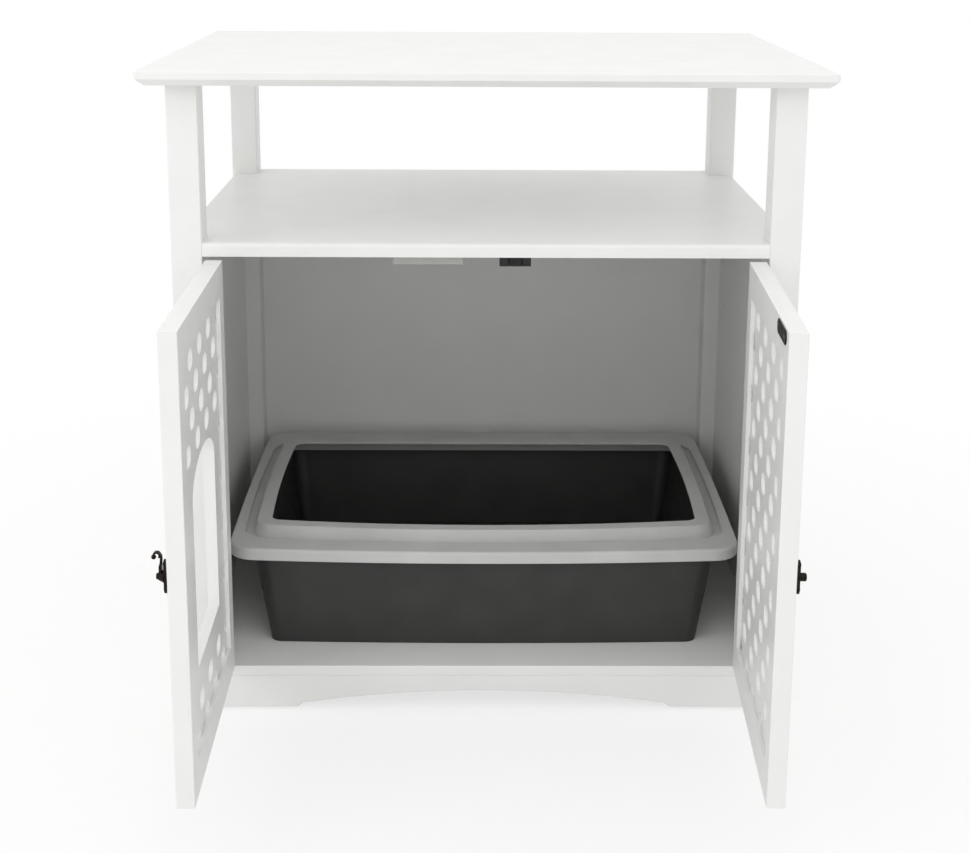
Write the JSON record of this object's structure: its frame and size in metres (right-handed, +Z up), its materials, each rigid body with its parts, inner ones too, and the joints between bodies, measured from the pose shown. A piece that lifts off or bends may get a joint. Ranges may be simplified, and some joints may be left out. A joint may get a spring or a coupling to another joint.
{
  "type": "cat litter box cabinet",
  "caption": "White end table with an open shelf bay above a litter bay with perforated doors, a cat entrance, a hook latch and a rimmed litter pan.",
  "frame": {"origin": "on the floor, under the middle of the box round the cabinet with both doors standing open as stored", "axes": "+X to the right as seen from the front, +Y towards the back, +Z up"},
  "size_m": [0.723, 0.8332, 0.724],
  "materials": {
    "white_lacquer": "satin",
    "zinc_steel": "satin",
    "beech": "matte",
    "dark_bronze": "satin",
    "black_plastic": "matte",
    "magnet_iron": "matte",
    "white_plastic": "matte",
    "charcoal_plastic": "satin",
    "grey_plastic": "satin"
  },
  "bodies": {
    "cabinet": {"top_panel": "white_lacquer", "front_left_post": "white_lacquer", "front_right_post": "white_lacquer", "rear_left_post": "white_lacquer", "rear_right_post": "white_lacquer", "middle_shelf": "white_lacquer", "floor_panel": "white_lacquer", "left_side_panel": "white_lacquer", "right_side_panel": "white_lacquer", "back_panel": "white_lacquer", "front_apron": "white_lacquer", "rear_rail": "white_lacquer", "floor_cleats": "white_lacquer", "cleat_screws": "zinc_steel", "top_dowels": "beech", "shelf_dowels": "beech", "side_dowels": "beech", "back_screws": "zinc_steel", "foot_glides": "white_plastic", "catch_body": "black_plastic", "catch_magnet": "magnet_iron", "catch_poles": "zinc_steel", "catch_screws": "zinc_steel", "stop_block": "white_plastic", "stop_screws": "zinc_steel", "left_door_hinge_frame_leaves": "zinc_steel", "left_door_hinge_frame_screws": "zinc_steel", "left_door_hinge_pins": "zinc_steel", "right_door_hinge_frame_leaves": "zinc_steel", "right_door_hinge_frame_screws": "zinc_steel", "right_door_hinge_pins": "zinc_steel"},
    "left_door": {"left_door_hinge_stile": "white_lacquer", "left_door_free_stile": "white_lacquer", "left_door_top_rail": "white_lacquer", "left_door_bottom_rail": "white_lacquer", "left_door_panel": "white_lacquer", "left_door_hinge_door_leaves": "zinc_steel", "left_door_hinge_door_screws": "zinc_steel", "latch_plate": "dark_bronze", "latch_screws": "dark_bronze", "latch_pivot": "dark_bronze"},
    "hook": {"latch_hook": "dark_bronze"},
    "right_door": {"right_door_hinge_stile": "white_lacquer", "right_door_free_stile": "white_lacquer", "right_door_top_rail": "white_lacquer", "right_door_bottom_rail": "white_lacquer", "right_door_panel": "white_lacquer", "right_door_hinge_door_leaves": "zinc_steel", "right_door_hinge_door_screws": "zinc_steel", "keeper_plate": "dark_bronze", "keeper_screws": "dark_bronze", "keeper_peg": "dark_bronze", "strike_plate": "dark_bronze", "strike_screws": "zinc_steel"},
    "pan": {"litter_tub": "charcoal_plastic"},
    "rim": {"litter_rim": "grey_plastic"}
  },
  "joints": [
    {"name": "left_door_hinge", "type": "hinge", "parent": "cabinet", "child": "left_door", "pos_m": [-0.30175, -0.1165, 0.28875], "axis": [0, 0, 1], "range_deg": [-60, 89.1]},
    {"name": "right_door_hinge", "type": "hinge", "parent": "cabinet", "child": "right_door", "pos_m": [0.30175, -0.1165, 0.28875], "axis": [0, 0, -1], "range_deg": [-60, 87.2]},
    {"name": "hook_swing", "type": "hinge", "parent": "left_door", "child": "hook", "pos_m": [-0.30103, -0.41047, 0.28875], "axis": [0.9999, 0.0157, 0], "range_deg": [0, 90]},
    {"name": "pan_lift", "type": "slide", "parent": "cabinet", "child": "pan", "axis": [0, 0, 1], "range_m": [0, 0.12]},
    {"name": "rim_lift", "type": "slide", "parent": "pan", "child": "rim", "axis": [0, 0, 1], "range_m": [0, 0.1]}
  ]
}
